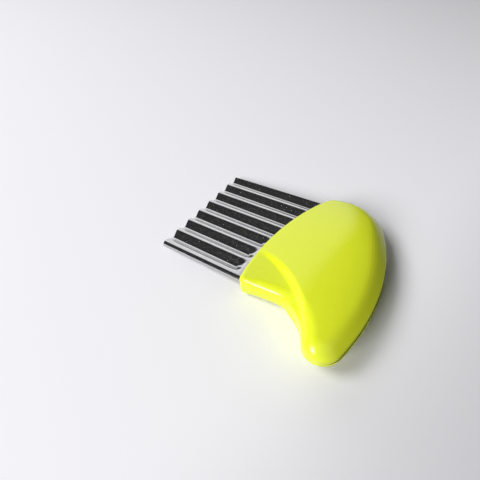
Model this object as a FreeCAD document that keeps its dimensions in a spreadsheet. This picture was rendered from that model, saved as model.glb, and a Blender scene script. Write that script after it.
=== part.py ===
import FreeCAD, Part
import Sketcher
import math
import os

# Hand-held crinkle cutter: a corrugated sheet blade held between two moulded palm shells.
# Blade frame: X runs from the cutting edge to the back of the handle, Y across the ridges
# from the first to the last crest, Z up from the plane where the two shells meet.
# The three pieces are tipped together into the pose in which the cutter lies on a table,
# on its cutting edge and on a small flat under the belly of the handle.

PIECES = ("upper_shell", "lower_shell", "blade")

# Driving dimensions, in millimetres and degrees. A rule in quotes ties a size to the ones above it.
VALUES = (
    # Overall: reach of the blade in front of the handle, far end and thickness of the handle
    ("lip_x", 47.8),
    ("far_y", 72.5),
    ("crown_height", 9.5),
    # Corrugated blade
    ("wave_pitch", 9.5),
    ("wave_depth", 2.5),
    ("flank_angle", 40.0),
    ("sheet_gauge", 0.6),
    ("crest_level", 1.25),
    ("curl_reach", 2.22),
    ("curl_radius", 1.5),
    ("curl_drop", 2.32),
    ("curl_end", "lip_x + 4.2"),
    ("edge_thickness", 0.15),
    ("bevel_length", 1.8),
    ("far_edge_front", "far_y - 7.2"),
    ("far_edge_back", "far_y - 6.1"),
    ("runout_start", "lip_x - 6.4"),
    ("runout_radius", 100.0),
    ("runout_length", 4.5),
    # Tang inside the handle
    ("tang_shoulder", "lip_x + 15.4"),
    ("tang_end", "lip_x + 36.2"),
    ("tang_near", 2.5),
    ("tang_far", "far_y - 14.5"),
    ("tang_corner", 5.0),
    # Plan outline of the handle
    ("back_x", "lip_x + 56.9"),
    ("back_y", "far_y - 59.2"),
    ("back_radius", 104.0),
    ("shoulder_radius", 22.0),
    ("far_x", "lip_x + 25.7"),
    ("far_radius", 29.0),
    ("corner_radius", 3.0),
    ("lip_y", "far_y - 60.2"),
    ("lip_radius", 127.0),
    ("heel_radius", 2.8),
    ("heel_slope", 4.5),
    ("notch_x", "lip_x + 19.8"),
    ("notch_y", -23.5),
    ("notch_radius", 20.0),
    ("knob_y", -10.8),
    ("rim_step", 0.35),
    ("middle_y", "( far_y - 21.5 ) / 2"),
    # Height of each half of the handle
    ("heel_height", 5.35),
    ("front_rise", 33.0),
    ("back_fall", 28.0),
    ("rim_fall", 8.0),
    ("crease_x", "lip_x + 5.2"),
    ("crease_y", -22.0),
    ("crease_radius", 36.4),
    ("crease_width", 6.0),
    ("edge_round", 2.4),
    ("rest_flat", 0.3),
    # Walls and inside
    ("wall", 2.4),
    ("sheet_clearance", 0.2),
    ("tongue_inset", 1.1),
    ("tongue_width", 0.8),
    ("tongue_height", 1.0),
    ("tongue_clearance", 0.1),
    ("tongue_start", "lip_x + 21.2"),
    ("boss_radius", 4.0),
    ("peg_radius", 2.0),
    ("peg_clearance", 0.15),
    ("peg_height", 4.0),
    ("peg_x", "lip_x + 26.2"),
    ("peg_y", 12.0),
    ("peg_spacing", "( tang_far - 18 ) / 2"),
    ("rib_width", 1.8),
    ("rib_start", "lip_x + 19.2"),
    ("rib_length", "back_x - wall - rib_start - 5.3"),
)

PEG_COUNT = 3
FRONT_POWER = 2.2
BACK_DROP = 0.55
BACK_POWER = 3.5
RIM_DROP = 0.12
END_DROP = 0.3
END_POWER = 4
FORM_STEP = 2.0
FORM_MARGIN = 4.0
SLOT_REACH = 5.0
SLOT_END = 0.3
OVERLAP = 1.0
KNOB_STEPS = 60
TIP_STEPS = 14
STEEPEST_TIP = 10.0
FINE_MESH = 0.01
ROUND_TRIES = 8
ROUND_EASE = 0.08

doc = FreeCAD.newDocument("crinkle_cutter")
sheet = doc.addObject("Spreadsheet::Sheet", "Values")
for row, (alias, size) in enumerate(VALUES, start=1):
    sheet.set("A%d" % row, alias.replace("_", " "))
    sheet.set("B%d" % row, "=" + size if isinstance(size, str) else str(size))
    sheet.setAlias("B%d" % row, alias)
    doc.recompute()


def val(alias):
    """Number held by one named cell."""
    return float(sheet.get(alias))


def bind(item, **expressions):
    """Tie properties of an object to cells; a bare word stands for that cell."""
    for name, expression in expressions.items():
        item.setExpression(name, cells(expression))


def cells(expression):
    """Write the sheet's name before every alias of an expression."""
    words = expression.split()
    aliases = dict(VALUES)
    return " ".join("Values." + word if word in aliases else word for word in words)


# Plan outline of the handle

def meet(first, first_radius, second, second_radius, side):
    """Point at two distances from two centres, on one side of the line between them."""
    gap = math.dist(first, second)
    along = (first_radius ** 2 - second_radius ** 2 + gap ** 2) / (2 * gap)
    across = side * math.sqrt(first_radius ** 2 - along ** 2)
    ux, uy = (second[0] - first[0]) / gap, (second[1] - first[1]) / gap
    return (first[0] + along * ux - across * uy, first[1] + along * uy + across * ux)


def towards(start, target, distance):
    """Point at a distance from one centre in the direction of another point."""
    gap = math.dist(start, target)
    return (start[0] + (target[0] - start[0]) * distance / gap,
            start[1] + (target[1] - start[1]) * distance / gap)


def handle_centres(step):
    """Centres and radii of the outline's arcs, with the back and far side set in by a step."""
    back_radius, notch_radius = val("back_radius"), val("notch_radius")
    back = (val("back_x") - step - back_radius, val("back_y"))
    notch = (val("notch_x"), val("notch_y"))
    far = (val("far_x"), val("far_y") - step - val("far_radius"))
    lip = (val("lip_x") + val("lip_radius"), val("lip_y"))
    low, high = 0.0, back_radius
    for _ in range(KNOB_STEPS):
        knob_radius = (low + high) / 2
        reach = math.sqrt((back_radius - knob_radius) ** 2 - (val("knob_y") - back[1]) ** 2)
        knob = (back[0] + reach, val("knob_y"))
        if math.dist(knob, notch) > notch_radius + knob_radius:
            low = knob_radius
        else:
            high = knob_radius
    shoulder = meet(back, back_radius - val("shoulder_radius"),
                    far, val("far_radius") - val("shoulder_radius"), 1)
    corner = meet(far, val("far_radius") - val("corner_radius"),
                  lip, val("lip_radius") - val("corner_radius"), 1)
    slope = math.radians(val("heel_slope"))
    rise = notch_radius + val("heel_radius")
    foot = (notch[0] - rise * math.sin(slope), notch[1] + rise * math.cos(slope))
    heel = line_meet(foot, slope, lip, val("lip_radius") - val("heel_radius"))
    return {"notch": (notch, notch_radius), "knob": (knob, knob_radius),
            "back": (back, back_radius), "shoulder": (shoulder, val("shoulder_radius")),
            "far": (far, val("far_radius")), "corner": (corner, val("corner_radius")),
            "lip": (lip, val("lip_radius")), "heel": (heel, val("heel_radius"))}


def line_meet(point, slope, centre, radius):
    """Where the line through a point, at a slope, first meets a circle on its low-X side."""
    ux, uy = math.cos(slope), math.sin(slope)
    along = (centre[0] - point[0]) * ux + (centre[1] - point[1]) * uy
    foot = (point[0] + along * ux, point[1] + along * uy)
    half = math.sqrt(radius ** 2 - math.dist(foot, centre) ** 2)
    return (foot[0] - half * ux, foot[1] - half * uy)


def handle_joints(centres):
    """Tangent points of the outline, counter-clockwise from the heel's straight side."""
    at = {name: centre for name, (centre, radius) in centres.items()}
    radius = {name: size for name, (centre, size) in centres.items()}
    slope = math.radians(val("heel_slope"))
    return [
        (at["heel"][0] + radius["heel"] * math.sin(slope),
         at["heel"][1] - radius["heel"] * math.cos(slope)),
        (at["notch"][0] - radius["notch"] * math.sin(slope),
         at["notch"][1] + radius["notch"] * math.cos(slope)),
        towards(at["notch"], at["knob"], radius["notch"]),
        towards(at["back"], at["knob"], radius["back"]),
        towards(at["back"], at["shoulder"], radius["back"]),
        towards(at["far"], at["shoulder"], radius["far"]),
        towards(at["far"], at["corner"], radius["far"]),
        towards(at["lip"], at["corner"], radius["lip"]),
        towards(at["lip"], at["heel"], radius["lip"]),
    ]


ARC_ORDER = ("notch", "knob", "back", "shoulder", "far", "corner", "lip", "heel")


def handle_sketch(name, step):
    """Closed outline of the handle: one straight side and eight tangent arcs."""
    sketch = doc.addObject("Sketcher::SketchObject", name)
    step_size = val(step) if step else 0.0
    centres = handle_centres(step_size)
    joints = handle_joints(centres)
    first, second = (FreeCAD.Vector(*joint, 0) for joint in joints[:2])
    sketch.addGeometry(Part.LineSegment(first, second), False)
    up = FreeCAD.Vector(0, 0, 1)
    for place, arc in enumerate(ARC_ORDER, start=1):
        centre, radius = centres[arc]
        start, end = joints[place], joints[(place + 1) % len(joints)]
        if arc == "notch":
            start, end = end, start
        angles = [math.atan2(p[1] - centre[1], p[0] - centre[0]) for p in (start, end)]
        circle = Part.Circle(FreeCAD.Vector(*centre, 0), up, radius)
        sketch.addGeometry(Part.ArcOfCircle(circle, *angles), False)
    count = len(ARC_ORDER) + 1
    for place in range(count):
        nxt = (place + 1) % count
        leave = 1 if place == 1 else 2
        enter = 2 if nxt == 1 else 1
        sketch.addConstraint(Sketcher.Constraint("Tangent", place, leave, nxt, enter))
    for place, arc in enumerate(ARC_ORDER, start=1):
        if arc != "knob":
            dimension(sketch, "Radius", arc + "_radius", (place,), centres[arc][1],
                      arc + "_radius")
    back_step = " - " + step if step else ""
    centre_rules = (("back", "X", "back_x - back_radius" + back_step),
                    ("back", "Y", "back_y"),
                    ("far", "X", "far_x"),
                    ("far", "Y", "far_y - far_radius" + back_step),
                    ("lip", "X", "lip_x + lip_radius"),
                    ("lip", "Y", "lip_y"),
                    ("notch", "X", "notch_x"),
                    ("notch", "Y", "notch_y"),
                    ("knob", "Y", "knob_y"))
    for arc, axis, rule in centre_rules:
        place = ARC_ORDER.index(arc) + 1
        centre = centres[arc][0]["XY".index(axis)]
        dimension(sketch, "Distance" + axis, arc + "_" + axis.lower(),
                  (-1, 1, place, 3), centre, rule)
    dimension(sketch, "Angle", "heel_slope", (0,), math.radians(val("heel_slope")), "heel_slope")
    return sketch


def dimension(sketch, kind, name, items, number, rule):
    """Add one named dimension to a sketch and tie it to the sheet."""
    unit = " * 1 deg" if kind == "Angle" else " * 1 mm"
    index = sketch.addConstraint(Sketcher.Constraint(kind, *items, number))
    sketch.renameConstraint(index, name + "_rule")
    sketch.setExpression("Constraints." + name + "_rule", "( " + cells(rule) + " )" + unit)


def polygon_sketch(name, corners):
    """Closed polygon whose corners are pairs of rules for X and Y."""
    sketch = doc.addObject("Sketcher::SketchObject", name)
    points = [FreeCAD.Vector(*(measure(rule) for rule in corner), 0) for corner in corners]
    count = len(points)
    for place in range(count):
        sketch.addGeometry(Part.LineSegment(points[place], points[(place + 1) % count]), False)
    for place in range(count):
        sketch.addConstraint(Sketcher.Constraint("Coincident", place, 2, (place + 1) % count, 1))
    for place, corner in enumerate(corners):
        for axis, rule, number in zip("XY", corner, points[place]):
            dimension(sketch, "Distance" + axis, "corner%d%s" % (place, axis.lower()),
                      (-1, 1, place, 1), number, rule)
    return sketch


def measure(rule):
    """Value of a sum of cells, as the sheet holds them now."""
    total, sign = 0.0, 1.0
    for word in rule.split():
        if word in "+-":
            sign = 1.0 if word == "+" else -1.0
        else:
            total += sign * (float(word) if word[0].isdigit() else val(word))
            sign = 1.0
    return total


def prism(name, base, up, down="0"):
    """Straight-sided solid over a sketch, from its plane up and down."""
    solid = doc.addObject("Part::Extrusion", name)
    solid.Base = base
    solid.DirMode = "Normal"
    solid.Solid = True
    bind(solid, LengthFwd=up, LengthRev=down)
    return solid


def inset(name, base, amount):
    """Outline moved in from another outline by a rule."""
    ring = doc.addObject("Part::Offset2D", name)
    ring.Source = base
    bind(ring, Value="- ( " + amount + " )")
    ring.Fill = False
    return ring


def combine(kind, name, *shapes):
    """Boolean of two or more objects."""
    result = doc.addObject("Part::" + kind, name)
    if kind in ("Cut", "Fuse", "Common"):
        result.Base, result.Tool = shapes
    else:
        result.Shapes = list(shapes)
    return result


# Sculpted form of one half of the handle

def half_height(x, y):
    """Height of the palm surface above the parting plane at one place in plan."""
    crown, heel = val("crown_height"), val("heel_height")
    lip_distance = val("lip_radius") - math.dist((x, y), (val("lip_x") + val("lip_radius"),
                                                         val("lip_y")))
    back_distance = val("back_radius") - math.dist((x, y), (val("back_x") - val("back_radius"),
                                                           val("back_y")))
    front = 1 - (1 - heel / crown) * max(0.0, 1 - lip_distance / val("front_rise")) ** FRONT_POWER
    back = (1 - BACK_DROP * max(0.0, 1 - back_distance / val("back_fall")) ** BACK_POWER
            - RIM_DROP * max(0.0, 1 - back_distance / val("rim_fall")) ** 2)
    half_span = val("far_y") - val("middle_y")
    ends = 1 - END_DROP * (abs(y - val("middle_y")) / half_span) ** END_POWER
    palm = crown * front * back * ends
    rise = math.dist((x, y), (val("crease_x"), val("crease_y"))) - val("crease_radius")
    share = min(1.0, max(0.0, rise / val("crease_width") + 0.5))
    share = share ** 3 * (10 - 15 * share + 6 * share ** 2)
    return heel + (palm - heel) * share


def palm_solid(lowered, side):
    """Solid between the palm surface of one side and far beyond the parting plane."""
    left, right = val("lip_x") - FORM_MARGIN, val("back_x") + FORM_MARGIN
    low, high = val("knob_y") - 3 * FORM_MARGIN, val("far_y") + FORM_MARGIN
    columns = math.ceil((right - left) / FORM_STEP)
    rows = math.ceil((high - low) / FORM_STEP)
    grid = []
    for i in range(columns + 1):
        x = left + (right - left) * i / columns
        grid.append([])
        for j in range(rows + 1):
            y = low + (high - low) * j / rows
            grid[-1].append(FreeCAD.Vector(x, y, side * (half_height(x, y) - lowered)))
    surface = Part.BSplineSurface()
    surface.interpolate(grid)
    depth = -3 * side * val("crown_height")
    return surface.toShape().extrude(FreeCAD.Vector(0, 0, depth))


def palm_form(name, side):
    """Palm side of one shell as an object."""
    form = doc.addObject("Part::Feature", name)
    form.Shape = palm_solid(0.0, side)
    return form


def hollow_form(name, outline):
    """Space inside an outline between the inner palm surfaces of the two shells."""
    doc.recompute()
    depth = 2 * val("crown_height")
    floor = Part.Face(Part.Wire(Part.__sortEdges__(outline.Shape.copy().Edges)))
    floor.translate(FreeCAD.Vector(0, 0, -depth))
    space = floor.extrude(FreeCAD.Vector(0, 0, 2 * depth))
    for side in (1, -1):
        space = space.common(palm_solid(val("wall"), side))
    form = doc.addObject("Part::Feature", name)
    form.Shape = space
    return form


def rounded_rim(name, base, side):
    """Round the edge all round the palm surface, a little less where the full size won't fit."""
    doc.recompute()
    rim = []
    for number, edge in enumerate(base.Shape.Edges, start=1):
        ends = [edge.valueAt(place) for place in (edge.FirstParameter, edge.LastParameter)]
        if all(side * end.z > OVERLAP for end in ends):
            rim.append(number)
    rounding = doc.addObject("Part::Fillet", name)
    rounding.Base = base
    for attempt in range(ROUND_TRIES):
        size = val("edge_round") * (1 - attempt * ROUND_EASE)
        rounding.Edges = [(number, size, size) for number in rim]
        doc.recompute()
        shape = rounding.Shape
        if not shape.isNull() and shape.isValid() and shape.Volume < base.Shape.Volume:
            break
    return rounding


# Corrugated sheet

def wave_count():
    """Number of valleys that cover the width of the blade."""
    return math.ceil(val("far_edge_back") / val("wave_pitch"))


def bend_radius():
    """Mid-line radius of crests and valleys that leaves a straight flank between them."""
    lean = math.radians(val("flank_angle"))
    half = val("wave_pitch") / 2
    return ((half * math.sin(lean) - val("wave_depth") * math.cos(lean))
            / (2 * (1 - math.cos(lean))))


def crest_points(offset):
    """Half of a crest beside y = 0, as two places and the middle of the arc between."""
    lean = math.radians(val("flank_angle"))
    radius = bend_radius() + offset
    level = val("crest_level") - bend_radius()
    return [(radius * math.sin(turn), level + radius * math.cos(turn))
            for turn in (0.0, lean / 2, lean)]


def wave_points(number, offset, flat):
    """Places along one valley, from crest to crest, at an offset from the mid-line."""
    pitch = val("wave_pitch")
    lean = math.radians(val("flank_angle"))
    crest = crest_points(offset)
    radius = bend_radius() - offset
    level = val("crest_level") - val("wave_depth") + bend_radius()
    valley = [(pitch / 2 + radius * math.sin(turn), level - radius * math.cos(turn))
              for turn in (-lean, 0.0, lean)]
    places = crest + valley + [(pitch - y, z) for y, z in reversed(crest)]
    if flat:
        places = [(y, val("crest_level") + offset) for y, z in places]
    return [(number * pitch + y, z) for y, z in places]


def curl_points(offset):
    """Places along the turned-down near edge, from its foot up to the first crest."""
    reach, radius, level = val("curl_reach"), val("curl_radius"), val("crest_level")
    foot = level - val("curl_drop")
    centre = (radius - reach, level - radius)
    bend = [(centre[0] - (radius + offset) * math.sin(turn),
             centre[1] + (radius + offset) * math.cos(turn))
            for turn in (math.pi / 2, math.pi / 4, 0.0)]
    return [(-reach - offset, foot)] + bend + [(0.0, level + offset)]


def wave_edges(x, places, flat):
    """Edges of one valley: half crest, flank, valley, flank, half crest."""
    at = [FreeCAD.Vector(x, y, z) for y, z in places]
    if flat:
        stops = (0, 2, 3, 5, 6, 8)
        return [Part.LineSegment(at[a], at[b]).toShape() for a, b in zip(stops, stops[1:])]
    return [Part.Arc(at[0], at[1], at[2]).toShape(),
            Part.LineSegment(at[2], at[3]).toShape(),
            Part.Arc(at[3], at[4], at[5]).toShape(),
            Part.LineSegment(at[5], at[6]).toShape(),
            Part.Arc(at[6], at[7], at[8]).toShape()]


def curl_edges(x, places):
    """Edges of the turned-down near edge: leg, bend and the flat up to the first crest."""
    at = [FreeCAD.Vector(x, y, z) for y, z in places]
    return [Part.LineSegment(at[0], at[1]).toShape(),
            Part.Arc(at[1], at[2], at[3]).toShape(),
            Part.LineSegment(at[3], at[4]).toShape()]


def closed(x, lower, upper, make):
    """Closed wire between two runs of places, the lower one and the upper one."""
    edges = make(x, lower) + make(x, upper)
    for end in (0, -1):
        edges.append(Part.LineSegment(FreeCAD.Vector(x, *lower[end]),
                                      FreeCAD.Vector(x, *upper[end])).toShape())
    return Part.Wire(Part.__sortEdges__(edges))


def between(first, last):
    """Solid with straight sides from one closed wire to the next."""
    return Part.makeLoft([first, last], True, True)


def sheet_strip(number, x, low, high, flat):
    """Cross-section of one valley of the sheet between two offsets from its mid-line."""
    return closed(x, wave_points(number, low, flat), wave_points(number, high, flat),
                  lambda place, run: wave_edges(place, run, flat))


def runout(number):
    """Where one valley starts to rise to the level of the crests."""
    y = (number + 0.5) * val("wave_pitch")
    return val("runout_start") + y ** 2 / (2 * val("runout_radius"))


def corrugated_sheet():
    """Whole corrugated sheet with its cutting bevel, before it is trimmed in plan."""
    half = val("sheet_gauge") / 2
    tip = half - val("edge_thickness")
    bevel, back = val("bevel_length"), val("tang_end")
    pieces = []
    for number in range(wave_count()):
        rise = runout(number)
        sharp = sheet_strip(number, 0.0, tip, half, False)
        full = sheet_strip(number, bevel, -half, half, False)
        start = sheet_strip(number, rise, -half, half, False)
        level = sheet_strip(number, rise + val("runout_length"), -half, half, True)
        end = sheet_strip(number, back, -half, half, True)
        pieces += [between(sharp, full), between(full, start), between(start, level),
                   between(level, end)]
    sharp = closed(0.0, curl_points(tip), curl_points(half), curl_edges)
    full = closed(bevel, curl_points(-half), curl_points(half), curl_edges)
    end = closed(val("curl_end"), curl_points(-half), curl_points(half), curl_edges)
    pieces += [between(sharp, full), between(full, end)]
    sheet_solid = doc.addObject("Part::Feature", "corrugated_sheet")
    sheet_solid.Shape = pieces[0].multiFuse(pieces[1:]).removeSplitter()
    return sheet_solid


def slot_side(name, sign):
    """Room in the lip beyond one face of the sheet: all below its top or above its underside."""
    offset = sign * (val("sheet_gauge") / 2 + val("sheet_clearance"))
    stop = val("crest_level") - sign * SLOT_REACH
    start, end = val("lip_x") - 2 * val("runout_length"), val("tang_shoulder") + SLOT_END
    pieces = []
    for number in range(wave_count()):
        rise = max(runout(number), start + OVERLAP)
        level = rise + val("runout_length")
        wires = []
        for x, flat in ((start, False), (rise, False), (level, True), (end, True)):
            run = wave_points(number, offset, flat)
            ends = [(run[0][0], stop), (run[-1][0], stop)]
            edges = wave_edges(x, run, flat)
            corners = [FreeCAD.Vector(x, *place) for place in (run[-1], ends[1], ends[0], run[0])]
            edges += [Part.LineSegment(a, b).toShape() for a, b in zip(corners, corners[1:])]
            wires.append(Part.Wire(Part.__sortEdges__(edges)))
        if level < end:
            pieces += [between(a, b) for a, b in zip(wires, wires[1:])]
        else:
            pieces += [between(wires[0], wires[1]), between(wires[1], wires[2])]
    room = doc.addObject("Part::Feature", name)
    room.Shape = pieces[0].multiFuse(pieces[1:])
    return room


def curl_room(name, sign):
    """Room in the lip for the turned-down near edge of the sheet."""
    half = val("sheet_gauge") / 2 + val("sheet_clearance")
    start, end = val("lip_x") - 2 * val("runout_length"), val("curl_end") + SLOT_END
    run = curl_points(sign * half)
    foot = run[0][1] - val("sheet_clearance")
    outside = -val("curl_reach") - half
    stop = val("crest_level") - sign * SLOT_REACH
    if sign > 0:
        rest = [(0.0, stop), (outside, stop)]
    else:
        rest = [(0.0, stop), (outside, stop), (outside, foot), (run[0][0], foot)]
    edges = curl_edges(start, run)
    corners = [FreeCAD.Vector(start, *place) for place in [run[-1]] + rest + [run[0]]]
    edges += [Part.LineSegment(a, b).toShape() for a, b in zip(corners, corners[1:])]
    room = doc.addObject("Part::Feature", name)
    face = Part.Face(Part.Wire(Part.__sortEdges__(edges)))
    room.Shape = face.extrude(FreeCAD.Vector(end - start, 0, 0))
    return room


def box(name, x, y, z, length, width, height):
    """Box from its low corner, every size and place a rule."""
    block = doc.addObject("Part::Box", name)
    bind(block, Length=length, Width=width, Height=height)
    bind(block, **{"Placement.Base.x": x, "Placement.Base.y": y, "Placement.Base.z": z})
    return block


def pegs(name, radius, z, height):
    """Row of upright cylinders at the places of the pegs."""
    row = []
    for number in range(PEG_COUNT):
        post = doc.addObject("Part::Cylinder", "%s_%d" % (name, number + 1))
        bind(post, Radius=radius, Height=height)
        place = "peg_y + %d * peg_spacing" % number
        bind(post, **{"Placement.Base.x": "peg_x", "Placement.Base.y": place,
                      "Placement.Base.z": z})
        row.append(post)
    return row


def ribs(name, z, height):
    """Straight ribs midway between the pegs."""
    rows = []
    for number in range(PEG_COUNT - 1):
        middle = "peg_y + %.1f * peg_spacing" % (number + 0.5)
        rows.append(box("%s_%d" % (name, number + 1), "rib_start", middle + " - rib_width / 2",
                        z, "rib_length", "rib_width", height))
    return rows


def ring(name, source, outer, inner, low, high, start):
    """Wall that follows an outline between two insets, behind a place along the handle."""
    shells = []
    for side, amount in (("outer", outer), ("inner", inner)):
        edge = inset("%s_%s_edge" % (name, side), source, amount)
        shells.append(prism("%s_%s" % (name, side), edge, high, low))
    wall = combine("Cut", name + "_wall", *shells)
    behind = box(name + "_range", start, "knob_y - 2 * notch_radius", "- ( " + low + " )",
                 "back_x", "far_y + 4 * notch_radius", high + " + " + low)
    return combine("Common", name, wall, behind)


# Sketches and palm surfaces shared by the shells
lower_outline = handle_sketch("lower_outline", "")
upper_outline = handle_sketch("upper_outline", "rim_step")
cavity_outline = inset("cavity_outline", lower_outline, "wall")
upper_palm = palm_form("upper_palm", 1)
lower_palm = palm_form("lower_palm", -1)
hollow = hollow_form("hollow", cavity_outline)
sheet_under = "crest_level - sheet_gauge / 2"
sheet_top = "crest_level + sheet_gauge / 2"

# Blade: corrugated sheet trimmed to its plan, with holes for the pegs
corrugation = corrugated_sheet()
blade_plan = polygon_sketch("blade_plan", (
    ("- wave_pitch", "- wave_pitch"),
    ("curl_end", "- wave_pitch"),
    ("curl_end", "tang_near"),
    ("tang_end", "tang_near"),
    ("tang_end", "tang_far"),
    ("tang_shoulder", "tang_far"),
    ("tang_shoulder", "far_edge_back"),
    ("- wave_pitch", "far_edge_front")))
blade_prism = prism("blade_prism", blade_plan, "wave_pitch", "wave_pitch")
doc.recompute()
blade_trim = doc.addObject("Part::Fillet", "blade_trim")
blade_trim.Base = blade_prism
blade_trim.Edges = [
    (number, val("tang_corner"), val("tang_corner"))
    for number, edge in enumerate(blade_prism.Shape.Edges, start=1)
    if edge.BoundBox.XMin > val("tang_end") - OVERLAP and edge.BoundBox.ZLength > OVERLAP]
blade_sheet = combine("Common", "blade_sheet", corrugation, blade_trim)
blade_holes = combine("MultiFuse", "blade_holes",
                      *pegs("blade_hole", "peg_radius + peg_clearance * 2", "- wave_pitch / 2",
                            "wave_pitch"))
blade = combine("Cut", "blade", blade_sheet, blade_holes)

# Room for the sheet in the lips of the two shells
above_top = slot_side("room_below_top", 1)
curl_top = curl_room("curl_room_below_top", 1)
under_room = slot_side("room_above_underside", -1)
curl_under = curl_room("curl_room_above_underside", -1)
upper_slot = combine("MultiFuse", "upper_slot", above_top, curl_top)
lower_slot = combine("MultiFuse", "lower_slot", under_room, curl_under)

# Upper shell
upper_pad = prism("upper_pad", upper_outline, "crown_height * 2")
upper_body = combine("Common", "upper_body", upper_pad, upper_palm)
upper_skin = rounded_rim("upper_skin", upper_body, 1)
upper_teeth_pad = prism("upper_teeth_pad", upper_outline, "wall / 2", "wave_depth + sheet_gauge")
upper_teeth_range = box("upper_teeth_range", "0 * wall", "0 * wall", "- wave_depth * 2",
                        "tang_shoulder", "far_edge_back", "wave_depth * 3")
upper_teeth = combine("Common", "upper_teeth", upper_teeth_pad, upper_teeth_range)
upper_solid = combine("MultiFuse", "upper_solid", upper_skin, upper_teeth)
upper_posts = combine("MultiFuse", "upper_posts",
                      *pegs("upper_boss", "boss_radius", sheet_top, "crown_height"),
                      *ribs("upper_rib", sheet_top, "crown_height"))
upper_room = combine("Cut", "upper_room", hollow, upper_posts)
groove = ring("groove", lower_outline, "tongue_inset - tongue_clearance",
              "tongue_inset + tongue_width + tongue_clearance", "wall / 4",
              "tongue_height + tongue_clearance", "tongue_start - tongue_clearance")
upper_sockets = pegs("socket", "peg_radius + peg_clearance", "0 * peg_height",
                     "peg_height + 2 * peg_clearance")
upper_cuts = combine("MultiFuse", "upper_cuts", upper_room, groove, *upper_sockets)
upper_open = combine("Cut", "upper_open", upper_solid, upper_cuts)
upper_shell = combine("Cut", "upper_shell", upper_open, upper_slot)

# Lower shell
lower_pad = prism("lower_pad", lower_outline, "0 * wall", "crown_height * 2")
lower_body = combine("Common", "lower_body", lower_pad, lower_palm)
lower_skin = rounded_rim("lower_skin", lower_body, -1)
tongue = ring("tongue", lower_outline, "tongue_inset", "tongue_inset + tongue_width",
              "wall / 4", "tongue_height", "tongue_start")
rise = "wall + " + sheet_under
lower_solid = combine("MultiFuse", "lower_solid", lower_skin, tongue,
                      *pegs("peg", "peg_radius", "- wall", "wall + peg_height"),
                      *pegs("boss_top", "boss_radius", "- wall", rise),
                      *ribs("rib_top", "- wall", rise))
lower_posts = combine("MultiFuse", "lower_posts",
                      *pegs("lower_boss", "boss_radius", "- crown_height * 2",
                            "crown_height * 4"),
                      *ribs("lower_rib", "- crown_height * 2", "crown_height * 4"))
lower_room = combine("Cut", "lower_room", hollow, lower_posts)
lower_open = combine("Cut", "lower_open", lower_solid, lower_room)
lower_whole = combine("Cut", "lower_whole", lower_open, lower_slot)
doc.recompute()


# Rest pose: the pieces tipped together until the belly reaches a little below the table
# on which the cutting edge lies
def tipped(points, tip):
    """Places of points once they are tipped about Y."""
    cosine, sine = math.cos(math.radians(tip)), math.sin(math.radians(tip))
    return [(p.x * cosine - p.z * sine, p.y, p.x * sine + p.z * cosine) for p in points]


def lowest(points, tip):
    """Lowest height of points once they are tipped."""
    return min(place[2] for place in tipped(points, tip))


edge_points, belly_points, palm_points = (
    item.Shape.tessellate(FINE_MESH)[0] for item in (blade, lower_skin, upper_skin))
low_tip, high_tip = 0.0, STEEPEST_TIP
for _ in range(TIP_STEPS):
    rest_tip = (low_tip + high_tip) / 2
    if lowest(edge_points, rest_tip) > lowest(belly_points, rest_tip) + val("rest_flat"):
        low_tip = rest_tip
    else:
        high_tip = rest_tip
across, along, _ = zip(*tipped(edge_points + belly_points + palm_points, rest_tip))
rest = FreeCAD.Placement(
    FreeCAD.Vector(-(min(across) + max(across)) / 2, -(min(along) + max(along)) / 2,
                   -lowest(edge_points, rest_tip)),
    FreeCAD.Rotation(FreeCAD.Vector(0, 1, 0), -rest_tip))

# Flat under the belly, cut along the table
table = doc.addObject("Part::Box", "table")
bind(table, Length="back_x * 2", Width="far_y * 2", Height="crown_height")
doc.recompute()
table.Placement = rest.inverse() * FreeCAD.Placement(
    FreeCAD.Vector(-table.Length / 2, -table.Width / 2, -table.Height), FreeCAD.Rotation())
lower_shell = combine("Cut", "lower_shell", lower_whole, table)
doc.recompute()

pieces = [doc.getObject(name) for name in PIECES]
for piece in pieces:
    piece.Label = piece.Name
    piece.Placement = rest
doc.recompute()

faulty = [item.Name for item in doc.Objects
          if "Invalid" in item.State or "Error" in item.State]
for piece in pieces:
    if piece.Shape.isNull() or not piece.Shape.isValid() or len(piece.Shape.Solids) != 1:
        faulty.append(piece.Name)
if faulty:
    raise RuntimeError("pieces that did not come out whole: " + ", ".join(faulty))

os.makedirs("parts", exist_ok=True)
for piece in pieces:
    piece.Shape.exportStep(os.path.join("parts", piece.Label + ".step"))
print("tip %.3f, place %s" % (rest_tip, rest.Base))
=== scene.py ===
"""Hand-held crinkle cutter: a corrugated steel blade between two glossy moulded palm shells."""

import math

import bmesh
import bpy
from mathutils import Matrix, Vector, geometry


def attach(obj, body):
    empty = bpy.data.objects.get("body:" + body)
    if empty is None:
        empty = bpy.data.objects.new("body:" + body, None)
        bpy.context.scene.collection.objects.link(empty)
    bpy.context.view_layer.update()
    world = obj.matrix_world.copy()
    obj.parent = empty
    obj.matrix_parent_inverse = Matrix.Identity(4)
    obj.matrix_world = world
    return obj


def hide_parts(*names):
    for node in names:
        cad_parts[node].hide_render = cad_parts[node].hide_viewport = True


bl_info = {
    "name": "Crinkle cutter",
    "version": (1, 0, 0),
    "blender": (4, 5, 0),
    "location": "3D View > Sidebar > Cutter",
    "description": "Builds a crinkle cutter around its packed CAD model",
    "category": "Object",
}

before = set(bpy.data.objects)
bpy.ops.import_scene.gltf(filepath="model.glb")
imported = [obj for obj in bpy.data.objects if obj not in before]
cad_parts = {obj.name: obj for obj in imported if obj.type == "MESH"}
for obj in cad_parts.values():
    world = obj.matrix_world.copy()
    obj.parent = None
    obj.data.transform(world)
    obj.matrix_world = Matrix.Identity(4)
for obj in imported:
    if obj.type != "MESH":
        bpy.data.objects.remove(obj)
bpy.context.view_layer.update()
BODY = "root"
MM = 0.001

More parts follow.
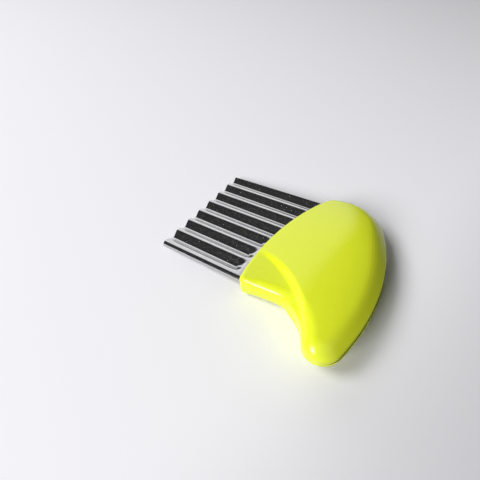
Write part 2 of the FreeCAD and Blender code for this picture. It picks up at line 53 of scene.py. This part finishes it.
# The cutter's own frame, in mm: X runs from the cutting edge to the back of the handle, Y across
# the blade away from the finger notch, and Z up from the plane where the two shells meet.

# Outline of the handle: centre and radius of the four large arcs. The knob, the shoulder and the
# corner are rounds between two of them, and the heel one between the lip and the straight side.
LIP = (Vector((174.8, 12.3)), 127.0)
BACK = (Vector((0.7, 13.6)), 104.8)
FAR = (Vector((73.5, 43.5)), 29.0)
NOTCH = (Vector((67.6, -23.5)), 20.0)
KNOB_RADIUS = 8.5
SHOULDER_RADIUS = 19.5
CORNER_RADIUS = 3.0
HEEL_RADIUS = 2.8
HEEL_SLOPE = math.radians(4.5)
# Order of the arcs after the straight side of the heel
ARC_ORDER = ("notch", "knob", "back", "shoulder", "far", "corner", "lip", "heel")

# Rounding of the palm's edge at places along the outline: arc, share of the way along it, how far
# in the rounding starts and how far down it reaches
ROUNDING = (
    ("side", 0.0, 2.4, 2.8),
    ("side", 0.45, 4.2, 4.0),
    ("notch", 0.0, 4.8, 4.4),
    ("notch", 0.55, 6.0, 5.0),
    ("knob", 0.1, 6.2, 5.0),
    ("knob", 0.6, 6.2, 5.2),
    ("back", 0.2, 6.0, 4.8),
    ("back", 0.8, 9.0, 6.3),
    ("shoulder", 0.5, 7.5, 6.0),
    ("far", 0.5, 4.0, 3.6),
    ("corner", 0.5, 2.4, 2.4),
    ("lip", 0.1, 1.8, 1.8),
    ("lip", 0.9, 1.8, 1.8),
    ("heel", 0.5, 2.4, 2.6),
)
# Step of the upper shell inside the lower one, at places given in the same way
RIM_STEP = (
    ("side", 0.5, 0.0),
    ("knob", 0.45, 0.0),
    ("back", 0.06, 0.45),
    ("shoulder", 0.5, 0.45),
    ("corner", 0.5, 0.0),
    ("lip", 0.5, 0.0),
)
# Where the rows of the palm's surface run to from the start of the side and of each arc, and the
# point where they all meet
CORE = ((68.0, 14.0), (71.0, 12.0), (86.0, 2.0), (88.0, 5.0), (80.0, 44.0), (75.0, 48.0),
        (72.0, 47.0), (70.5, 45.0), (66.0, 17.0))
CORE_MIDDLE = (75.0, 29.0)

# Height of the palm. It rises over FRONT_RISE from the lip and falls towards the back, the rim
# and the two ends, each fall by a share of the height.
FRONT_RISE = 33.0
FRONT_POWER = 1.5
BACK_FALL = 28.0
BACK_DROP = 0.55
BACK_POWER = 3.5
RIM_FALL = 8.0
RIM_DROP = 0.12
RIM_POWER = 2
END_DROP = 0.3
END_POWER = 4
MIDDLE_Y = 25.5
HALF_SPAN = 47.0
# Middle of the arc along which the palm steps up from the heel
CREASE_CENTRE = (39.3, -35.5)

# Corrugated sheet where it passes the lip. Its waves run out into a flat there, the near ones
# before the lip and the others under it.
WAVE_PITCH = 9.5
WAVE_DEPTH = 2.5
WAVE_RADIUS = 2.4324
FLANK_ANGLE = math.radians(40.0)
CREST_LEVEL = 1.25
RUNOUT_START = 41.4
RUNOUT_RADIUS = 100.0
RUNOUT_LENGTH = 4.5
SHEET_NEAR = -2.6
SHEET_FAR = 66.4
HALF_GAUGE = 0.3
SHEET_PLAY = 0.12
# The near edge of the sheet is curled down
CURL_START = -1.9
CURL_FOOT = -1.07
CURL_PLAY = 0.2

# Mesh of a shell: distance between the points of its outline, break of the rim's edge and reach
# of merging, and numbers of rows
OUTLINE_STEP = 0.6
LEAST_STEPS = 6
EDGE_BREAK = 0.03
WELD = 0.01
WALL_ROWS = 2
ROUND_ROWS = 10
PALM_ROWS = 32
CORE_ROWS = 8

# Patterns of the finishes in mm. The lines left by polishing are about 0.1 mm apart on such a
# sheet, too fine for the picture, and are drawn coarser, as its specks are.
ABS_RIPPLE = 3.0
ABS_GRAIN = 0.6
ABS_RELIEF = 0.02
STEEL_LINE = 0.5
STEEL_RUN = 14.0
STEEL_SPECK = 0.55
STEEL_RELIEF = 0.01
# Roughness where a finish is glossiest and where it is dullest
ABS_ROUGHNESS = (0.15, 0.25)
STEEL_ROUGHNESS = (0.09, 0.2)
BOARD_ROUGHNESS = 0.7
ABS_IOR = 1.53
# Share of bare metal in the dullest specks of the steel
SPECK_METAL = 0.92

# Floor, in metres: half its side, the way along which its colour is painted darker as painted
# shade, and where along that way the painted shade begins and is full
FLOOR_HALF = 3.0
SHADE_WAY = (0.97, -0.25, 0.0)
SHADE_START = 0.03
SHADE_FULL = 0.13

# Softboxes: turn from +Y towards +X, rise above the table, and side in metres
SIDE_LAMP = (math.radians(-128), math.radians(46), 0.9)
NEAR_LAMP = (math.radians(-168), math.radians(28), 0.8)
# Walls of the room: turn and rise of the middle, half width, soft edge, and light
FAR_WALL = (math.radians(-48), math.radians(15), math.radians(27), math.radians(12), 1.1)
NEAR_WALL = (math.radians(128), math.radians(38), math.radians(24), math.radians(20), 0.7)
ROOM_LIGHT = 0.035
PAPER_LIGHT = 0.85
WHITE = "#FFFFFF"

# Camera: width of the sensor in mm, and nearest and furthest sight in metres
SENSOR = 36.0
SIGHT = (0.005, 20.0)


# Colours and nodes

def linear(hex_colour):
    """Linear RGBA of an sRGB hex colour."""
    channels = [int(hex_colour[place:place + 2], 16) / 255 for place in (1, 3, 5)]
    return tuple(c / 12.92 if c <= 0.04045 else ((c + 0.055) / 1.055) ** 2.4
                 for c in channels) + (1.0,)


def add_node(tree, kind, links=None, settings=None, **inputs):
    """Add one node with its settings, its fixed inputs and its incoming links."""
    node = tree.nodes.new(kind)
    for name, value in (settings or {}).items():
        setattr(node, name, value)
    for name, value in inputs.items():
        node.inputs[name.replace("_", " ")].default_value = value
    for name, source in (links or {}).items():
        tree.links.new(source, node.inputs[name])
    return node


def new_material(name):
    """Empty node material, its tree and its output node."""
    material = bpy.data.materials.new(name)
    material.use_nodes = True
    tree = material.node_tree
    tree.nodes.clear()
    return material, tree, add_node(tree, "ShaderNodeOutputMaterial")


# Shape of the handle

def smooth_share(share):
    """Soft step from 0 to 1."""
    share = min(1.0, max(0.0, share))
    return share ** 3 * (10 - 15 * share + 6 * share ** 2)


def palm_height(sizes, x, y):
    """Height of the palm above the parting plane at a place in plan, all in mm."""
    crown, heel = sizes.crown / MM, sizes.heel / MM
    lip_distance = LIP[1] - math.dist((x, y), LIP[0])
    back_distance = BACK[1] - math.dist((x, y), BACK[0])
    front = 1 - (1 - heel / crown) * max(0.0, 1 - lip_distance / FRONT_RISE) ** FRONT_POWER
    back = (1 - BACK_DROP * max(0.0, 1 - back_distance / BACK_FALL) ** BACK_POWER
            - RIM_DROP * max(0.0, 1 - back_distance / RIM_FALL) ** RIM_POWER)
    ends = 1 - END_DROP * (abs(y - MIDDLE_Y) / HALF_SPAN) ** END_POWER
    palm = crown * front * back * ends
    rise = math.dist((x, y), CREASE_CENTRE) - sizes.crease_radius / MM
    share = smooth_share(rise / (sizes.crease_width / MM) + 0.5)
    return heel + (palm - heel) * share


def sheet_middle(x, y):
    """Height of the middle of the corrugated sheet where it passes the lip, in mm."""
    if y < 0.0:
        return CREST_LEVEL
    offset = abs((y + WAVE_PITCH / 2) % WAVE_PITCH - WAVE_PITCH / 2)
    bend = WAVE_RADIUS * math.sin(FLANK_ANGLE)
    if offset < bend:
        drop = WAVE_RADIUS - math.sqrt(WAVE_RADIUS ** 2 - offset ** 2)
    elif offset > WAVE_PITCH / 2 - bend:
        drop = (WAVE_DEPTH - WAVE_RADIUS
                + math.sqrt(WAVE_RADIUS ** 2 - (WAVE_PITCH / 2 - offset) ** 2))
    else:
        drop = WAVE_RADIUS * (1 - math.cos(FLANK_ANGLE)) + (offset - bend) * math.tan(FLANK_ANGLE)
    valley = (math.floor(y / WAVE_PITCH) + 0.5) * WAVE_PITCH
    runout = (x - RUNOUT_START - valley ** 2 / (2 * RUNOUT_RADIUS)) / RUNOUT_LENGTH
    return CREST_LEVEL - drop * (1 - min(1.0, max(0.0, runout)))


def parting_height(x, y, arc, side):
    """Height of a shell's edge: the parting plane, but on the lip the face of the sheet."""
    if arc != "lip" or not SHEET_NEAR < y < SHEET_FAR:
        return 0.0
    gap = HALF_GAUGE + SHEET_PLAY
    if side > 0:
        return sheet_middle(x, y) + gap
    if y < CURL_START:
        return CURL_FOOT - CURL_PLAY
    return sheet_middle(x, y) - gap


def round_between(first, second, radius, pick):
    """Round that touches two circles from inside: of both places the one that pick prefers."""
    spots = geometry.intersect_sphere_sphere_2d(first[0], first[1] - radius,
                                                second[0], second[1] - radius)
    return pick(spots, key=lambda spot: spot.x), radius


def outline_arcs():
    """Start and end of the heel's straight side, and name, centre, radius and turn of each arc."""
    side = Vector((math.cos(HEEL_SLOPE), math.sin(HEEL_SLOPE)))
    above = Vector((-side.y, side.x))
    shoulder = round_between(BACK, FAR, SHOULDER_RADIUS, min)
    corner = round_between(FAR, LIP, CORNER_RADIUS, max)
    line = NOTCH[0] + above * (NOTCH[1] + HEEL_RADIUS)
    heel = min(geometry.intersect_line_sphere_2d(
        line, line - side, LIP[0], LIP[1] - HEEL_RADIUS, False), key=lambda spot: spot.x)
    knob = max(geometry.intersect_sphere_sphere_2d(
        BACK[0], BACK[1] - KNOB_RADIUS, NOTCH[0], NOTCH[1] + KNOB_RADIUS), key=lambda spot: spot.x)
    rounds = dict(zip(ARC_ORDER, (NOTCH, (knob, KNOB_RADIUS), BACK, shoulder, FAR, corner, LIP,
                                  (heel, HEEL_RADIUS))))

    def touch(large, small):
        """Point where a large arc meets a round."""
        centre, radius = rounds[large]
        return centre + (rounds[small][0] - centre).normalized() * radius

    start = heel - above * HEEL_RADIUS
    end = NOTCH[0] + above * NOTCH[1]
    joints = [end, touch("notch", "knob"), touch("back", "knob"), touch("back", "shoulder"),
              touch("far", "shoulder"), touch("far", "corner"), touch("lip", "corner"),
              touch("lip", "heel"), start]
    arcs = []
    for name, enter, leave in zip(ARC_ORDER, joints, joints[1:]):
        centre, radius = rounds[name]
        turn = (leave - centre).angle_signed(enter - centre)
        arcs.append((name, centre, radius, turn))
    return start, end, arcs


def walk_outline(form):
    """Spin the outline arc by arc; return its vertices in order, and arc and share of each."""
    start, end, arcs = outline_arcs()
    steps = round((end - start).length / OUTLINE_STEP)
    stride = Vector((*(end - start), 0.0)) / steps
    first = form.verts.new((*start, 0.0))
    last = bmesh.ops.spin(form, geom=[first], cent=(0, 0, 0), axis=(0, 0, 1), dvec=stride,
                          angle=0.0, steps=steps)["geom_last"]
    names = [("side", step / steps) for step in range(steps)]
    for arc, centre, radius, turn in arcs:
        tip = next(item for item in last if isinstance(item, bmesh.types.BMVert))
        steps = max(LEAST_STEPS, round(radius * abs(turn) / OUTLINE_STEP))
        last = bmesh.ops.spin(form, geom=[tip], cent=(*centre, 0.0), axis=(0, 0, 1),
                              angle=turn, steps=steps)["geom_last"]
        names += [(arc, step / steps) for step in range(steps)]
    bmesh.ops.remove_doubles(form, verts=form.verts, dist=WELD)
    form.verts.ensure_lookup_table()
    first = form.verts[0]
    second = min((edge.other_vert(first) for edge in first.link_edges),
                 key=lambda vert: abs(vert.co.y - first.co.y - stride.y))
    loop = [first, second]
    while len(loop) < len(form.verts):
        loop.append(next(edge.other_vert(loop[-1]) for edge in loop[-1].link_edges
                         if edge.other_vert(loop[-1]) is not loop[-2]))
    return loop, names


def along(names, table):
    """Values of a table of places on the outline, eased between them, for every vertex."""
    start, end, arcs = outline_arcs()
    lengths = [("side", (end - start).length)]
    lengths += [(arc, radius * abs(turn)) for arc, _, radius, turn in arcs]
    reached, whole = {}, 0.0
    for arc, length in lengths:
        reached[arc] = (whole, length)
        whole += length
    stops = [(reached[row[0]][0] + row[1] * reached[row[0]][1], row[2:]) for row in table]
    stops = [(stops[-1][0] - whole, stops[-1][1])] + stops + [(stops[0][0] + whole, stops[0][1])]
    found = []
    for arc, share in names:
        reach = reached[arc][0] + share * reached[arc][1]
        low, high = next((a, b) for a, b in zip(stops, stops[1:]) if a[0] <= reach <= b[0])
        ease = (reach - low[0]) / (high[0] - low[0])
        ease = ease * ease * (3 - 2 * ease)
        found.append([a + (b - a) * ease for a, b in zip(low[1], high[1])])
    return found


def loop_edges(form, loop):
    """Edges of a closed loop of vertices, in order."""
    return [form.edges.get(pair) for pair in zip(loop, loop[1:] + loop[:1])]


def extrude_loop(form, loop, places):
    """Extrude a closed loop and move its new vertices to their places."""
    made = bmesh.ops.extrude_edge_only(form, edges=loop_edges(form, loop))["geom"]
    fresh = {item for item in made if isinstance(item, bmesh.types.BMVert)}
    new_loop = [next(edge.other_vert(vert) for edge in vert.link_edges
                     if edge.other_vert(vert) in fresh) for vert in loop]
    for vert, place in zip(new_loop, places):
        vert.co = place
    return new_loop


def inward_normals(plan):
    """Unit normals of a closed outline in plan, pointing into it."""
    ahead = [after - before for after, before in zip(plan[1:] + plan[:1], plan[-1:] + plan[:-1])]
    return [Vector((-step.y, step.x)).normalized() for step in ahead]


def turn_outwards(form, side):
    """Make the faces of a shell's skin point away from its inside."""
    bmesh.ops.recalc_face_normals(form, faces=form.faces)
    top = max(form.faces, key=lambda face: side * face.calc_center_median().z)
    if top.normal.z * side < 0:
        bmesh.ops.reverse_faces(form, faces=form.faces)


def rest_place(sizes):
    """Turn and shift from the cutter's own frame in mm to the way it lies, in metres."""
    shift = Matrix.Translation(Vector(sizes.rest_shift))
    return shift @ Matrix.Rotation(-sizes.rest_tip, 4, "Y") @ Matrix.Scale(MM, 4)


def palm_skin(sizes, side):
    """Outside of one shell, from the parting line over its rounded edge to the crown.

    The side is 1 for the upper shell and -1 for the lower one.
    """
    form = bmesh.new()
    loop, names = walk_outline(form)
    plan = [Vector(vert.co[:2]) for vert in loop]
    normals = inward_normals(plan)
    if side > 0:
        steps = along(names, RIM_STEP)
        plan = [spot + normal * step[0] for spot, normal, step in zip(plan, normals, steps)]
    insets, depths = zip(*along(names, ROUNDING))

    def inside(distances):
        """Spots of a row that lies inside the outline by a distance each."""
        return [spot + normal * inset for spot, normal, inset in zip(plan, normals, distances)]

    def palm(spot):
        """Height of this shell's palm at a spot."""
        return side * palm_height(sizes, spot.x, spot.y)

    def row(spots, heights):
        """Places of a row of vertices."""
        return [Vector((*spot, height)) for spot, height in zip(spots, heights)]

    # Rim, with a sharp edge that is barely broken
    edge = [parting_height(spot.x, spot.y, name[0], side) for spot, name in zip(plan, names)]
    for vert, place in zip(loop, row(inside([EDGE_BREAK] * len(loop)), edge)):
        vert.co = place
    for item in loop_edges(form, loop):
        item.smooth = False
    bottom = [height + side * EDGE_BREAK for height in edge]
    loop = extrude_loop(form, loop, row(plan, bottom))

    # Upright wall, then the rounded edge
    foot = [palm(spot) - side * depth for spot, depth in zip(inside(insets), depths)]
    for step in range(1, WALL_ROWS + 1):
        heights = [low + (high - low) * step / WALL_ROWS for low, high in zip(bottom, foot)]
        loop = extrude_loop(form, loop, row(plan, heights))
    for step in range(1, ROUND_ROWS + 1):
        turn = math.pi / 2 * step / ROUND_ROWS
        outer = inside([inset * (1 - math.cos(turn)) for inset in insets])
        heights = [low + (palm(spot) - low) * math.sin(turn) for low, spot in zip(foot, outer)]
        loop = extrude_loop(form, loop, row(outer, heights))

    # Palm, in rows that draw in to the core and then to its middle
    table = [(arc, 0.0, *spot) for arc, spot in zip(("side",) + ARC_ORDER, CORE)]
    core = [Vector(spot) for spot in along(names, table)]
    middle = Vector(CORE_MIDDLE)
    rows = [[a.lerp(b, step / PALM_ROWS) for a, b in zip(outer, core)]
            for step in range(1, PALM_ROWS + 1)]
    rows += [[spot.lerp(middle, step / CORE_ROWS) for spot in core]
             for step in range(1, CORE_ROWS)]
    rows.append([middle] * len(loop))
    for spots in rows:
        loop = extrude_loop(form, loop, row(spots, [palm(spot) for spot in spots]))
    bmesh.ops.pointmerge(form, verts=loop, merge_co=loop[0].co)

    turn_outwards(form, side)
    for face in form.faces:
        face.smooth = True
    bmesh.ops.transform(form, matrix=rest_place(sizes), verts=form.verts)
    # The belly is flat where the cutter stands on it
    for vert in form.verts:
        vert.co.z = max(0.0, vert.co.z)
    return form


def new_piece(name, form, material):
    """Object made from a finished form, with its finish."""
    mesh = bpy.data.meshes.new(name)
    form.to_mesh(mesh)
    form.free()
    mesh.materials.append(material)
    piece = bpy.data.objects.new(name, mesh)
    bpy.context.scene.collection.objects.link(piece)
    return piece


def add_wall(piece, thickness):
    """Give a skin its wall, inwards."""
    wall = piece.modifiers.new("wall", "SOLIDIFY")
    wall.thickness = thickness
    wall.offset = -1.0


# Settings

class CutterSizes(bpy.types.PropertyGroup):
    """Sizes of the handle and the way it lies."""
    crown: bpy.props.FloatProperty(name="Crown", default=0.0095, unit="LENGTH",
                                   description="Height of one palm above the parting line")
    heel: bpy.props.FloatProperty(name="Heel", default=0.00535, unit="LENGTH",
                                  description="Height of the heel above the parting line")
    wall: bpy.props.FloatProperty(name="Wall", default=0.0024, unit="LENGTH",
                                  description="Thickness of the moulded walls")
    crease_radius: bpy.props.FloatProperty(name="Crease radius", default=0.0513, unit="LENGTH",
                                           description="Sweep of the step between heel and palm")
    crease_width: bpy.props.FloatProperty(name="Crease width", default=0.0038, unit="LENGTH",
                                          description="Breadth of the step between heel and palm")
    rest_tip: bpy.props.FloatProperty(name="Rest tip", default=math.radians(6.199),
                                      unit="ROTATION",
                                      description="Tilt of the cutter as it lies on a table")
    rest_shift: bpy.props.FloatVectorProperty(
        name="Rest shift", unit="LENGTH", default=(-0.052078, -0.026601, 0.001346),
        description="Shift of the cutter to the middle of its box")


class CutterColours(bpy.types.PropertyGroup):
    """Colours of the finishes and of the floor."""
    plastic: bpy.props.StringProperty(name="Plastic", default="#D6E127",
                                      description="Yellow-green of the moulded shells")
    plastic_pale: bpy.props.StringProperty(name="Pale plastic", default="#DAE52E",
                                           description="The same plastic where it runs paler")
    steel_dark: bpy.props.StringProperty(name="Dull steel", default="#BCBCBF",
                                         description="Steel in the polishing lines")
    steel: bpy.props.StringProperty(name="Steel", default="#CFCFD0",
                                    description="Polished stainless steel")
    floor: bpy.props.StringProperty(name="Floor", default="#F1F0F4",
                                    description="Pale surface under the cutter")
    # Painted shade: a darker floor colour that stands in for light falling off towards one side
    shade: bpy.props.StringProperty(name="Shade", default="#CFCED2",
                                    description="The same surface where it falls into shade")


class CutterStudio(bpy.types.PropertyGroup):
    """Camera and lamps."""
    lens: bpy.props.FloatProperty(name="Lens", default=25.5, unit="CAMERA",
                                  description="Focal length in mm on a 36 mm sensor")
    camera_place: bpy.props.FloatVectorProperty(
        name="Camera place", subtype="XYZ", unit="LENGTH", default=(0.04466, -0.10682, 0.13619),
        description="Where the camera stands")
    camera_aim: bpy.props.FloatVectorProperty(
        name="Camera aim", subtype="XYZ", unit="LENGTH", default=(-0.02147, -0.0024, 0.0),
        description="Point of the table in the middle of the picture")
    camera_roll: bpy.props.FloatProperty(
        name="Camera roll", subtype="ANGLE", unit="ROTATION", default=math.radians(1.818),
        description="Turn of the camera about its own axis")
    lamp_distance: bpy.props.FloatProperty(name="Lamp distance", default=2.2, unit="LENGTH",
                                           description="From each softbox to the cutter")
    side_power: bpy.props.FloatProperty(name="Side softbox", default=33.0, subtype="POWER",
                                        unit="POWER", description="Softbox at the left")
    near_power: bpy.props.FloatProperty(name="Near softbox", default=36.0, subtype="POWER",
                                        unit="POWER", description="Low softbox at the front")


# Finishes

def abs_plastic(colours):
    """Injection-moulded ABS, mass-coloured and polished in the mould.

    The gloss is even, over a faint ripple from the shrinking of the wall.
    """
    material, tree, output = new_material("moulded_abs")
    place = add_node(tree, "ShaderNodeTexCoord").outputs["Object"]
    ripple = add_node(tree, "ShaderNodeTexNoise", {"Vector": place},
                      Scale=1 / (ABS_RIPPLE * MM), Detail=2.0, Roughness=0.5)
    grain = add_node(tree, "ShaderNodeTexNoise", {"Vector": place},
                     Scale=1 / (ABS_GRAIN * MM), Detail=3.0, Roughness=0.6)
    tone = add_node(tree, "ShaderNodeMix", {"Factor": ripple.outputs["Fac"]},
                    {"data_type": "RGBA"})
    tone.inputs[6].default_value = linear(colours.plastic)
    tone.inputs[7].default_value = linear(colours.plastic_pale)
    gloss = add_node(tree, "ShaderNodeMapRange", {"Value": grain.outputs["Fac"]},
                     From_Min=0.3, From_Max=0.7,
                     To_Min=ABS_ROUGHNESS[0], To_Max=ABS_ROUGHNESS[1])
    bump = add_node(tree, "ShaderNodeBump", {"Height": ripple.outputs["Fac"]},
                    Strength=0.12, Distance=ABS_RELIEF * MM)
    shader = add_node(tree, "ShaderNodeBsdfPrincipled",
                      {"Base Color": tone.outputs[2], "Roughness": gloss.outputs["Result"],
                       "Normal": bump.outputs["Normal"]}, IOR=ABS_IOR)
    tree.links.new(shader.outputs["BSDF"], output.inputs["Surface"])
    return material


def polished_steel(colours):
    """Cold-rolled stainless sheet, polished after pressing.

    It mirrors the room, broken by fine lines along the ridges and by small dull specks.
    """
    material, tree, output = new_material("polished_stainless")
    place = add_node(tree, "ShaderNodeTexCoord").outputs["Object"]
    stretched = add_node(tree, "ShaderNodeMapping", {"Vector": place},
                         Scale=(STEEL_LINE / STEEL_RUN, 1.0, 1.0))
    lines = add_node(tree, "ShaderNodeTexNoise", {"Vector": stretched.outputs["Vector"]},
                     Scale=1 / (STEEL_LINE * MM), Detail=4.0, Roughness=0.65)
    specks = add_node(tree, "ShaderNodeTexNoise", {"Vector": place},
                      Scale=1 / (STEEL_SPECK * MM), Detail=2.0, Roughness=0.6)
    dull = add_node(tree, "ShaderNodeMapRange", {"Value": specks.outputs["Fac"]},
                    From_Min=0.45, From_Max=0.8,
                    To_Min=STEEL_ROUGHNESS[0], To_Max=STEEL_ROUGHNESS[1])
    tone = add_node(tree, "ShaderNodeValToRGB", {"Fac": lines.outputs["Fac"]})
    stops = ((0.35, colours.steel_dark), (0.6, colours.steel))
    for element, (position, colour) in zip(tone.color_ramp.elements, stops):
        element.position = position
        element.color = linear(colour)
    film = add_node(tree, "ShaderNodeMapRange", {"Value": specks.outputs["Fac"]},
                    From_Min=0.5, From_Max=0.75, To_Min=1.0, To_Max=SPECK_METAL)
    bump = add_node(tree, "ShaderNodeBump", {"Height": lines.outputs["Fac"]},
                    Strength=0.06, Distance=STEEL_RELIEF * MM)
    shader = add_node(tree, "ShaderNodeBsdfPrincipled",
                      {"Base Color": tone.outputs["Color"], "Roughness": dull.outputs["Result"],
                       "Metallic": film.outputs["Result"], "Normal": bump.outputs["Normal"]})
    tree.links.new(shader.outputs["BSDF"], output.inputs["Surface"])
    return material


def matt_board(colours):
    """Coated white board with a dead matt face, with painted shade darkening it towards one side.
    """
    material, tree, output = new_material("matt_board")
    place = add_node(tree, "ShaderNodeTexCoord").outputs["Object"]
    across = add_node(tree, "ShaderNodeVectorMath", {"Vector": place},
                      {"operation": "DOT_PRODUCT"})
    across.inputs[1].default_value = SHADE_WAY
    # Painted shade: the colour runs from the floor colour to the darker shade colour along one way
    shade = add_node(tree, "ShaderNodeMapRange", {"Value": across.outputs["Value"]},
                     {"interpolation_type": "SMOOTHSTEP"},
                     From_Min=SHADE_START, From_Max=SHADE_FULL, To_Min=0.0, To_Max=1.0)
    tone = add_node(tree, "ShaderNodeMix", {"Factor": shade.outputs["Result"]},
                    {"data_type": "RGBA"})
    tone.inputs[6].default_value = linear(colours.floor)
    tone.inputs[7].default_value = linear(colours.shade)
    shader = add_node(tree, "ShaderNodeBsdfPrincipled", {"Base Color": tone.outputs[2]},
                      Roughness=BOARD_ROUGHNESS)
    tree.links.new(shader.outputs["BSDF"], output.inputs["Surface"])
    return material


# Studio

def direction(turn, rise):
    """Unit vector from the cutter towards a place around it."""
    level = math.cos(rise)
    return Vector((math.sin(turn) * level, math.cos(turn) * level, math.sin(rise)))


def softbox(name, kind, distance, power):
    """Square soft lamp, turned to the middle of the table."""
    turn, rise, side = kind
    data = bpy.data.lights.new(name, "AREA")
    data.shape = "SQUARE"
    data.size = side
    data.energy = power
    lamp = bpy.data.objects.new(name, data)
    away = direction(turn, rise)
    facing = (-away).to_track_quat("-Z", "Y").to_matrix().to_4x4()
    lamp.matrix_world = Matrix.Translation(away * distance) @ facing
    bpy.context.scene.collection.objects.link(lamp)
    return lamp


def studio_room():
    """World: a dim room with one white wall, which the blade's ridges mirror.

    A second wall, behind the camera and to its right, shows only in reflections. The camera sees
    pale paper in place of the room.
    """
    world = bpy.data.worlds.new("studio_room")
    world.use_nodes = True
    tree = world.node_tree
    tree.nodes.clear()
    output = add_node(tree, "ShaderNodeOutputWorld")
    place = add_node(tree, "ShaderNodeTexCoord").outputs["Generated"]
    path = add_node(tree, "ShaderNodeLightPath")
    walls = []
    for turn, rise, spread, softness, light in (FAR_WALL, NEAR_WALL):
        facing = add_node(tree, "ShaderNodeVectorMath", {"Vector": place},
                          {"operation": "DOT_PRODUCT"})
        facing.inputs[1].default_value = direction(turn, rise)
        wall = add_node(tree, "ShaderNodeMapRange", {"Value": facing.outputs["Value"]},
                        {"interpolation_type": "SMOOTHSTEP"},
                        From_Min=math.cos(spread + softness), From_Max=math.cos(spread),
                        To_Min=0.0, To_Max=light)
        walls.append(wall.outputs["Result"])
    mirrored = add_node(tree, "ShaderNodeMath", {0: walls[1], 1: path.outputs["Is Glossy Ray"]},
                        {"operation": "MULTIPLY"})
    lit = add_node(tree, "ShaderNodeMath", {0: walls[0], 1: mirrored.outputs[0]},
                   {"operation": "ADD"})
    room = add_node(tree, "ShaderNodeMath", {0: lit.outputs[0]}, {"operation": "ADD"})
    room.inputs[1].default_value = ROOM_LIGHT
    seen = add_node(tree, "ShaderNodeMix", {"Factor": path.outputs["Is Camera Ray"],
                                            "A": room.outputs[0]}, B=PAPER_LIGHT)
    background = add_node(tree, "ShaderNodeBackground", {"Strength": seen.outputs[0]},
                          Color=linear(WHITE))
    tree.links.new(background.outputs[0], output.inputs["Surface"])
    return world


def studio_floor(colours):
    """Wide flat floor under the cutter."""
    form = bmesh.new()
    bmesh.ops.create_grid(form, x_segments=1, y_segments=1, size=FLOOR_HALF)
    floor = new_piece("floor", form, matt_board(colours))


def studio_camera(studio):
    """Camera at the photograph's angle."""
    data = bpy.data.cameras.new("camera")
    data.sensor_width = SENSOR
    data.lens = studio.lens
    data.clip_start, data.clip_end = SIGHT
    camera = bpy.data.objects.new("camera", data)
    place, aim = Vector(studio.camera_place), Vector(studio.camera_aim)
    turn = (aim - place).to_track_quat("-Z", "Y").to_matrix()
    turn = turn @ Matrix.Rotation(studio.camera_roll, 3, "Z")
    camera.matrix_world = Matrix.Translation(place) @ turn.to_4x4()
    bpy.context.scene.collection.objects.link(camera)
    return camera


# Steps of the build

class CUTTER_OT_blade(bpy.types.Operator):
    """Finish the corrugated blade"""
    bl_idname = "cutter.blade"
    bl_label = "Blade"

    def execute(self, context):
        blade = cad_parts["blade"]
        blade.data.materials.clear()
        blade.data.materials.append(polished_steel(context.scene.cutter_colours))
        return {"FINISHED"}


class CUTTER_OT_shells(bpy.types.Operator):
    """Build the two palm shells"""
    bl_idname = "cutter.shells"
    bl_label = "Palm shells"

    def execute(self, context):
        sizes = context.scene.cutter_sizes
        material = abs_plastic(context.scene.cutter_colours)
        for node, side in (("lower_shell", -1), ("upper_shell", 1)):
            piece = new_piece(node.replace("shell", "palm"), palm_skin(sizes, side), material)
            add_wall(piece, sizes.wall)
            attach(piece, BODY)
            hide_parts(node)
        return {"FINISHED"}


class CUTTER_OT_studio(bpy.types.Operator):
    """Set up the floor, lamps, world and camera"""
    bl_idname = "cutter.studio"
    bl_label = "Studio"

    def execute(self, context):
        scene = context.scene
        studio = scene.cutter_studio
        studio_floor(scene.cutter_colours)
        # The polished slopes are dark, so the side softbox is left out of all reflections
        side = softbox("side_softbox", SIDE_LAMP, studio.lamp_distance, studio.side_power)
        side.visible_glossy = False
        softbox("near_softbox", NEAR_LAMP, studio.lamp_distance, studio.near_power)
        scene.world = studio_room()
        scene.camera = studio_camera(studio)
        scene.view_settings.view_transform = "Standard"
        return {"FINISHED"}


class CUTTER_PT_panel(bpy.types.Panel):
    """Steps of the build"""
    bl_idname = "CUTTER_PT_panel"
    bl_label = "Crinkle cutter"
    bl_space_type = "VIEW_3D"
    bl_region_type = "UI"
    bl_category = "Cutter"

    def draw(self, context):
        for step in STEPS:
            self.layout.operator(step.bl_idname)


STEPS = (CUTTER_OT_blade, CUTTER_OT_shells, CUTTER_OT_studio)
CLASSES = (CutterSizes, CutterColours, CutterStudio) + STEPS + (CUTTER_PT_panel,)


def register():
    """Add the classes and the scene's settings."""
    for item in CLASSES:
        bpy.utils.register_class(item)
    bpy.types.Scene.cutter_sizes = bpy.props.PointerProperty(type=CutterSizes)
    bpy.types.Scene.cutter_colours = bpy.props.PointerProperty(type=CutterColours)
    bpy.types.Scene.cutter_studio = bpy.props.PointerProperty(type=CutterStudio)


def unregister():
    """Take them away again."""
    del bpy.types.Scene.cutter_studio
    del bpy.types.Scene.cutter_colours
    del bpy.types.Scene.cutter_sizes
    for item in reversed(CLASSES):
        bpy.utils.unregister_class(item)


def main():
    """Build every piece and the stage."""
    register()
    bpy.ops.cutter.blade()
    bpy.ops.cutter.shells()
    bpy.ops.cutter.studio()


if __name__ == "__main__":
    main()
